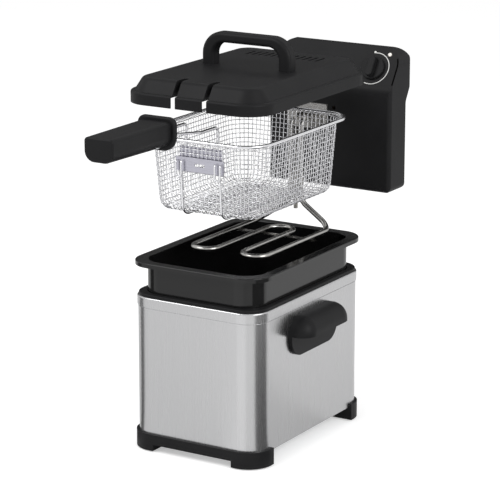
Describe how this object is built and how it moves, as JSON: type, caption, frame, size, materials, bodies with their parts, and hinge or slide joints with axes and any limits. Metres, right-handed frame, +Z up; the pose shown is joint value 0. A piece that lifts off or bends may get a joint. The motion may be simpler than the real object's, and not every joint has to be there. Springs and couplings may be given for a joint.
{
  "type": "deep fryer",
  "caption": "Domestic deep fryer shown lifted apart: steel housing, oil bowl, heating element with its control unit, wire basket with a long grip, and vented lid.",
  "frame": {"origin": "floor level, under the middle of the whole lifted-apart set, between the grip's tip and the control unit's back", "axes": "+Z up, front with the basket's grip towards -Y, +X to the right seen from the front"},
  "size_m": [0.26, 0.633, 0.5566],
  "materials": {
    "brushed_steel": "fine vertical brushing, satin",
    "galvanised_sheet": "galvanised sheet, dull",
    "black_plastic": "moulded, fine grain, satin",
    "foot_rubber": "moulded, dull",
    "zinc_screws": "zinc plated",
    "bowl_coating": "smooth non-stick coating, semi-gloss",
    "element_steel": "drawn stainless tube and sheet, satin",
    "bulb_plating": "nickel plated copper, satin",
    "switchgear": "moulded phenolic, dull",
    "brass_spindle": "turned, satin",
    "lamp_lens": "clear moulded lens, polished",
    "reset_red": "moulded, polished",
    "nickel_wire": "nickel plated, bright",
    "bracket_steel": "stainless sheet, satin",
    "filter_mesh": "knitted metal mesh"
  },
  "bodies": {
    "housing": {"steel_shell": "brushed_steel", "rim_collar": "black_plastic", "base_pan": "galvanised_sheet", "front_foot_rail": "black_plastic", "rear_foot_rail": "black_plastic", "foot_pads": "foot_rubber", "base_screws": "zinc_screws", "side_handle_right": "black_plastic", "side_handle_left": "black_plastic", "rear_guide": "black_plastic", "housing_screws": "zinc_screws"},
    "bowl": {"oil_bowl": "bowl_coating"},
    "element": {"heating_element": "element_steel", "element_brace": "element_steel", "thermostat_bulb": "bulb_plating", "terminal_plate": "element_steel", "terminal_pins": "element_steel"},
    "unit": {"unit_front_cover": "black_plastic", "unit_rear_cover": "black_plastic", "cover_screws": "zinc_screws", "thermostat_body": "switchgear", "pilot_lamp": "lamp_lens", "terminal_block": "switchgear", "thermal_cutout": "switchgear", "interlock_switch": "switchgear", "cord_gland": "foot_rubber"},
    "knob": {"temperature_knob": "black_plastic", "thermostat_spindle": "brass_spindle"},
    "reset": {"reset_button": "reset_red"},
    "basket": {"basket_mesh": "nickel_wire", "basket_rim": "nickel_wire", "frame_wires": "nickel_wire", "front_bracket": "bracket_steel", "drain_hooks": "nickel_wire", "inner_plate": "bracket_steel", "handle_wires": "nickel_wire", "handle_grip": "black_plastic", "grip_screws": "zinc_screws"},
    "lid": {"lid_shell": "black_plastic", "lid_handle": "black_plastic", "lid_screws": "zinc_screws", "lid_filter": "filter_mesh", "filter_cover": "black_plastic"}
  },
  "joints": [
    {"name": "bowl_lift", "type": "slide", "parent": "housing", "child": "bowl", "axis": [0, 0, 1], "range_m": [-0.0415, 0]},
    {"name": "element_lift", "type": "slide", "parent": "bowl", "child": "element", "axis": [0, 0, 1], "range_m": [-0.138, 0]},
    {"name": "basket_lift", "type": "slide", "parent": "element", "child": "basket", "axis": [0, 0, 1], "range_m": [-0.032, 0]},
    {"name": "lid_lift", "type": "slide", "parent": "basket", "child": "lid", "axis": [0, 0, 1], "range_m": [-0.053, 0]},
    {"name": "unit_draw", "type": "slide", "parent": "element", "child": "unit", "axis": [0, 1, 0], "range_m": [-0.058, 0]},
    {"name": "knob_turn", "type": "hinge", "parent": "unit", "child": "knob", "pos_m": [0.061, 0.2735, 0.47805], "axis": [0, 0.8365, -0.548], "range_deg": [0, 240]},
    {"name": "reset_press", "type": "slide", "parent": "unit", "child": "reset", "axis": [0, -1, 0], "range_m": [0, 0.002], "stiffness_N_per_m": 300}
  ]
}
